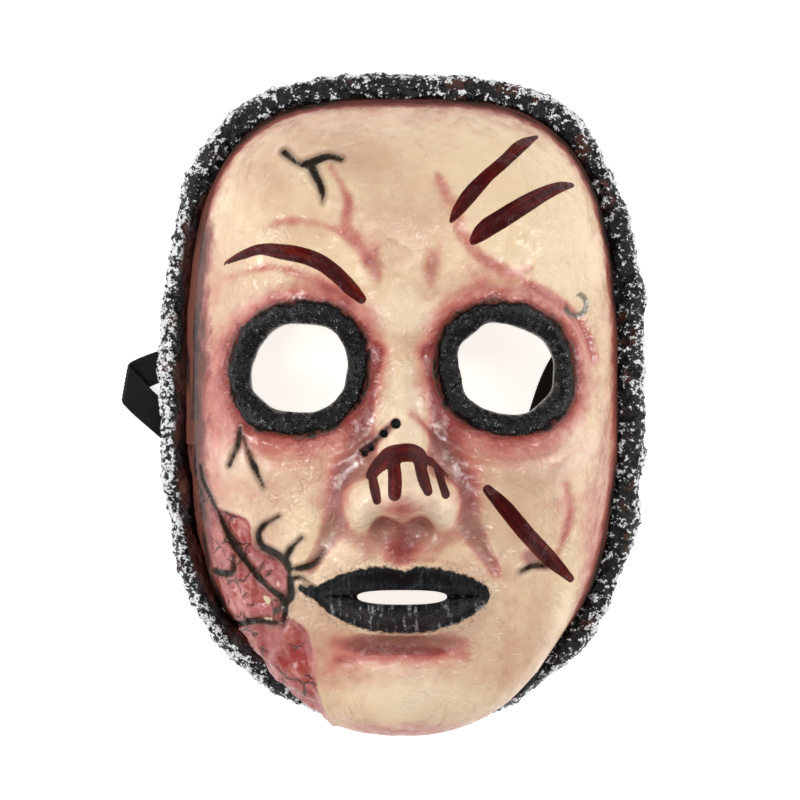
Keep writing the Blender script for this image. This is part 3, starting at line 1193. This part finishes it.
def ringMaterial():
    material, tree, shader = newMaterial("wetBlackRing")
    spot = place(tree)
    fine, coarse = grain(tree, spot, 2100.0, 3.0, 0.7), grain(tree, spot, 500.0, 4.0, 0.65)
    front = stored(tree, "front")
    colour = mixColour(tree, band(tree, coarse, 0.58, 0.72, 0.0, 0.6), ring["black"], ring["brown"])
    speck = added(tree, fine, times(tree, stored(tree, "crust"), 0.12))
    speckShare = times(tree, band(tree, speck, 0.69, 0.74), front)
    colour = mixColour(tree, speckShare, colour, ring["speck"])
    plug(tree, colour, shader.inputs["Base Color"])
    plug(tree, band(tree, coarse, 0.35, 0.7, 0.16, 0.36), shader.inputs["Roughness"])
    shader.inputs["Specular IOR Level"].default_value = 0.22
    height = added(tree, times(tree, coarse, 0.6),
                   times(tree, times(tree, fine, front), 0.12))
    addBump(tree, shader, height)
    return material


# Elastic strap: ribbed black webbing, held at both ends inside the side walls

strap = {
    "width": 12.0,
    "thickness": 1.2,
    "wallGap": 0.8,
    "floorGap": 0.3,
    "bendRadius": 3.4,
    "foldRadius": 1.4,
    "loopReach": 13.0,
    "creaseDrop": 0.54,
    "outWay": (-0.90, -0.44),
    "backWay": (0.69, -0.72),
    "loopPull": 0.4,
    "foldLead": 2.5,
    "foldTail": 1.5,
    "backRun": 6.0,
    "settle": 20.0,
    "risePull": 20.0,
    "riseFoot": (-1.0, -2.0, -10.0),
    "anchorTop": 26.0,
    "anchorLength": 16.0,
    "route": (
        # share of the face's half width, share of its half height
        (-0.86, -0.16), (-0.60, -0.35), (-0.26, -0.45), (0.10, -0.43), (0.40, -0.28),
        (0.60, -0.09), (0.70, 0.09),
    ),
    "ribs": 9,
    "ribDepth": 0.13,
    "sides": 72,
    "edgeCrowding": 0.85,
    "rollGap": 0.3,
    "black": (0.004, 0.004, 0.005),
    "thread": (0.018, 0.018, 0.020),
    "lint": (0.045, 0.045, 0.05),
}


def sideWallX(y, z):
    # Half width of the skin low on a side wall, by repeated substitution
    low = face["edgeLift"] + edgeHeight(y)
    rise = np.clip((z - low) / (face["depth"] - low), 0.0, 1.0)
    share = (1.0 - rise ** face["domeSquareness"]) ** (1.0 / face["domeSquareness"])
    x = halfWidth * share
    for _ in range(12):
        radius = share * outlineRadius(np.arctan2(y, x))
        x = np.sqrt(np.maximum(radius**2 - y**2, 1e-3))
    return x


def wallSlopes(y, z):
    # Change of the half width along Y and along Z
    step = 2.0
    alongY = (sideWallX(y + step, z) - sideWallX(y - step, z)) / (2 * step)
    alongZ = (sideWallX(y, z + step) - sideWallX(y, z - step)) / (2 * step)
    return alongY, alongZ


def wallStrapX(y, z):
    # Half width of the middle of the strap where it lies against the inside of a side wall
    alongY, alongZ = wallSlopes(y, z)
    depth = face["wall"] + strap["wallGap"] + strap["thickness"] / 2
    return sideWallX(y, z) - depth * np.sqrt(1.0 + alongY**2 + alongZ**2)


def unit(vectors):
    return vectors / np.linalg.norm(vectors, axis=-1, keepdims=True)


def bezier(knots, t):
    # Points of a cubic curve and its unit directions
    t = np.asarray(t)[:, None]
    point = ((1 - t) ** 3 * knots[0] + 3 * t * (1 - t) ** 2 * knots[1]
             + 3 * t * t * (1 - t) * knots[2] + t**3 * knots[3])
    slope = ((1 - t) ** 2 * (knots[1] - knots[0]) + 2 * t * (1 - t) * (knots[2] - knots[1])
             + t * t * (knots[3] - knots[2]))
    return point, unit(slope)


def strapPath():
    # Middle, sideways direction and half width, from the left wall round to the right wall
    half = strap["width"] / 2
    flatZ = strap["floorGap"] + strap["thickness"] / 2
    bendZ = flatZ + strap["bendRadius"]
    parts = []

    def add(centre, sideways, halves=half):
        centre = np.asarray(centre, float)
        sideways = np.broadcast_to(np.asarray(sideways, float), centre.shape)
        parts.append((centre, unit(sideways), np.full(len(centre), halves)))

    def addOnWall(side, y, heights):
        alongY, _ = wallSlopes(y, heights)
        level, one, none = np.full_like(heights, y), np.ones_like(heights), np.zeros_like(heights)
        add(np.stack([side * wallStrapX(y, heights), level, heights], -1),
            np.stack([side * alongY, one, none], -1))

    addOnWall(-1, strapLeftY, np.linspace(strap["anchorTop"], bendZ, 24))
    bendX = -wallStrapX(strapLeftY, bendZ) - strap["bendRadius"]
    turn = np.linspace(0.0, math.pi / 2, 16)[1:]
    add(np.stack([bendX + strap["bendRadius"] * np.cos(turn), np.full_like(turn, strapLeftY),
                  bendZ - strap["bendRadius"] * np.sin(turn)], -1), (0.0, 1.0, 0.0))

    creaseX = -(halfWidth + strap["rollGap"] + roll["width"] + strap["loopReach"])
    crease = np.array([creaseX, strapLeftY - strap["width"] * strap["creaseDrop"]])
    out, back = unit(np.array(strap["outWay"])), unit(np.array(strap["backWay"]))
    start = np.array([bendX, strapLeftY])
    pull = np.linalg.norm(crease - start) * strap["loopPull"]
    plan, along = bezier((start, start + pull * np.array([-1.0, 0.0]), crease - pull * out, crease),
                         np.linspace(0.03, 0.74, 26))
    flat = np.zeros(len(plan))
    add(np.column_stack([plan, flat + flatZ]), np.column_stack([along[:, 1], -along[:, 0], flat]))

    ruling = -unit(out + back)
    outward = np.array([-ruling[1], ruling[0]])
    slant = np.dot(out, ruling) / np.dot(out, outward)
    radius = strap["foldRadius"]
    halfTurn = math.pi * radius
    travel = np.concatenate([[-strap["foldLead"]], np.linspace(0.0, halfTurn, 22),
                             [halfTurn + strap["foldTail"]]])
    bend = np.clip(travel / radius, 0.0, math.pi)
    reach = np.where(travel <= 0, travel, np.where(travel < halfTurn, radius * np.sin(bend),
                                                   halfTurn - travel))
    rise = radius * (1 - np.cos(bend))
    plan = crease + reach[:, None] * outward + (travel * slant)[:, None] * ruling
    add(np.column_stack([plan, flatZ + rise]), (*ruling, 0.0), half / abs(np.dot(out, outward)))

    first = plan[-1] + strap["backRun"] * back
    route = [first] + [(x * halfWidth, y * halfHeight) for x, y in strap["route"]]
    plan = openCurve(route, 26)
    along = unit(np.gradient(plan, axis=0))
    gone = np.concatenate([[0.0], np.cumsum(np.linalg.norm(np.diff(plan, axis=0), axis=1))])
    z = flatZ + 2 * radius * (1.0 - smoothStep(gone, 0.0, strap["settle"]))
    add(np.column_stack([plan, z]), np.column_stack([-along[:, 1], along[:, 0], 0 * z]))

    lowZ = strap["anchorTop"] - strap["anchorLength"]
    start = np.array([*plan[-1], flatZ])
    ahead = np.array([*along[-1], 0.0])
    end = np.array([wallStrapX(strapRightY, lowZ), strapRightY, lowZ])
    t = np.linspace(0.0, 1.0, 50)[1:]
    points, tangent = bezier((start, start + strap["risePull"] * ahead,
                              end + np.array(strap["riseFoot"]), end), t)
    turned = smoothStep(t, 0.0, 0.9)[:, None]
    sideways = (1 - turned) * np.array([-ahead[1], ahead[0], 0.0]) + turned * np.array([0.0, 1.0, 0.0])
    sideways -= np.sum(sideways * tangent, axis=-1, keepdims=True) * tangent
    add(points, sideways)
    addOnWall(1, strapRightY, np.linspace(lowZ, strap["anchorTop"], 20)[1:])
    return (np.concatenate([part[n] for part in parts]) for n in range(3))


def buildStrap(material):
    # A flat rounded section with ribs along it, carried along the path
    centre, sideways, half = strapPath()
    tangent = unit(np.gradient(centre, axis=0))
    normal = unit(np.cross(tangent, sideways))
    gone = np.concatenate([[0.0], np.cumsum(np.linalg.norm(np.diff(centre, axis=0), axis=1))])
    sides = strap["sides"] // 2
    across = np.cos(np.linspace(0.0, math.pi, sides + 1))
    across = signedPower(across, strap["edgeCrowding"])
    ribs = strap["ribDepth"] * np.cos(math.pi * strap["ribs"] * across)
    thick = (strap["thickness"] / 2 - strap["ribDepth"] + ribs) * np.sqrt(1.0 - across**10)
    across = np.concatenate([across, across[-2:0:-1]])
    thick = np.concatenate([thick, -thick[-2:0:-1]])
    points = (centre[:, None, :] + sideways[:, None, :] * (half[:, None] * across)[..., None]
              + normal[:, None, :] * thick[None, :, None])
    rows, columns = points.shape[:2]
    faces = gridFaces(rows, columns, False, True).tolist()
    faces += [list(range(columns)), list(range((rows - 1) * columns, rows * columns))]
    mesh = makeMesh("elasticStrap", toWorld(points), faces)
    weave = np.stack([np.broadcast_to(gone[:, None], (rows, columns)),
                      np.broadcast_to(across * strap["width"] / 2, (rows, columns)),
                      np.zeros((rows, columns))], axis=-1)
    addAttribute(mesh, "weave", weave, "FLOAT_VECTOR")
    return addPiece("elasticStrap", mesh, [material], ["elastic_strap"])


def elasticMaterial():
    material, tree, shader = newMaterial("blackElastic")
    weave = stored(tree, "weave", "Vector")
    thread = node(tree, "TexWave", {"Vector": weave, "Scale": 0.62, "Distortion": 0.6,
                                    "Detail": 1.0}, wave_type="BANDS", bands_direction="X"
                  ).outputs["Fac"]
    fuzz = grain(tree, weave, 3.2, 3.0, 0.7)
    colour = mixColour(tree, thread, strap["black"], strap["thread"])
    colour = mixColour(tree, band(tree, fuzz, 0.60, 0.80, 0.0, 0.4), colour, strap["lint"])
    plug(tree, colour, shader.inputs["Base Color"])
    plug(tree, band(tree, fuzz, 0.3, 0.7, 0.70, 0.88), shader.inputs["Roughness"])
    shader.inputs["Sheen Weight"].default_value = 0.04
    shader.inputs["Specular IOR Level"].default_value = 0.2
    height = added(tree, times(tree, thread, 0.20),
                   times(tree, fuzz, 0.10))
    addBump(tree, shader, height)
    return material


latexMaterial = rawLatexMaterial()
buildSkin([paintedSkinMaterial("glossyLatexSkin", paint["shine"]), latexMaterial,
           paintedSkinMaterial("dullBlackPaint", paint["dullShine"])])
buildRoll(edgeRollMaterial())
wetBlack = ringMaterial()
buildRing(-1, "eyeRingLeft", "eye_ring_left", wetBlack)
buildRing(1, "eyeRingRight", "eye_ring_right", wetBlack)
buildStrap(elasticMaterial())
for patchName in ("anchor_patch_left", "anchor_patch_right"):
    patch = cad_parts[patchName]
    patch.data.materials.clear()
    patch.data.materials.append(latexMaterial)

# Floor, light and camera

stage = {
    "floorSize": 6.0,
    "floorColour": (0.70, 0.70, 0.70, 1.0),
    "floorGlow": 0.74,
    "sky": 0.21,
    "cameraHeight": 1.10,
    "frameWidth": 0.310,
    "aimHeight": 0.010,
    "aim": (0.0072, 0.0008),
    "sensor": 36.0,
    "lamps": (
        # name, place, aim, width, height, watts
        ("softboxLeft", (-0.95, 0.20, 0.70), (0.0, 0.0, 0.03), 0.13, 0.50, 6.6),
        ("softboxRight", (0.90, 0.10, 0.80), (0.0, 0.0, 0.03), 0.12, 0.48, 5.0),
        ("softboxTop", (0.10, 0.75, 1.00), (0.0, 0.0, 0.03), 0.30, 0.08, 1.8),
        ("softboxNear", (-0.40, -0.25, 1.15), (0.0, 0.0, 0.03), 0.09, 0.30, 2.0),
        ("softboxLow", (0.30, -0.75, 0.80), (0.0, 0.0, 0.03), 0.24, 0.07, 1.4),
        ("edgeLeft", (-1.10, -0.35, 0.42), (0.0, 0.0, 0.03), 0.10, 0.34, 2.2),
        ("edgeRight", (1.10, 0.40, 0.45), (0.0, 0.0, 0.03), 0.10, 0.34, 2.0),
    ),
}


def aimed(thing, start, end):
    thing.location = start
    thing.rotation_euler = (Vector(end) - Vector(start)).to_track_quat("-Z", "Y").to_euler()


def buildStage():
    half = stage["floorSize"] / 2
    mesh = makeMesh("floor", [(-half, -half, 0), (half, -half, 0), (half, half, 0), (-half, half, 0)],
                    [[0, 1, 2, 3]], recalculate=False)
    material, _, shader = newMaterial("paleFloor")
    shader.inputs["Base Color"].default_value = stage["floorColour"]
    shader.inputs["Roughness"].default_value = 0.9
    shader.inputs["Specular IOR Level"].default_value = 0.0
    shader.inputs["Emission Color"].default_value = (1.0, 1.0, 1.0, 1.0)
    shader.inputs["Emission Strength"].default_value = stage["floorGlow"]
    mesh.materials.append(material)
    floor = bpy.data.objects.new("floor", mesh)
    bpy.context.scene.collection.objects.link(floor)
    scene = bpy.context.scene
    scene.world = scene.world or bpy.data.worlds.new("studio")
    scene.world.use_nodes = True
    background = scene.world.node_tree.nodes["Background"]
    background.inputs["Color"].default_value = (1.0, 1.0, 1.0, 1.0)
    background.inputs["Strength"].default_value = stage["sky"]
    for name, start, end, width, height, watts in stage["lamps"]:
        light = bpy.data.lights.new(name, "AREA")
        light.shape, light.size, light.size_y, light.energy = "RECTANGLE", width, height, watts
        lamp = bpy.data.objects.new(name, light)
        scene.collection.objects.link(lamp)
        aimed(lamp, start, end)
    lens = bpy.data.cameras.new("camera")
    lens.sensor_width = stage["sensor"]
    distance = stage["cameraHeight"] - stage["aimHeight"]
    lens.lens = stage["sensor"] * distance / stage["frameWidth"]
    camera = bpy.data.objects.new("camera", lens)
    scene.collection.objects.link(camera)
    x, y = stage["aim"]
    camera.location = (x, y, stage["cameraHeight"])
    scene.camera = camera
    scene.view_settings.view_transform = "Standard"
    print("stage: floor, light and camera")


buildStage()
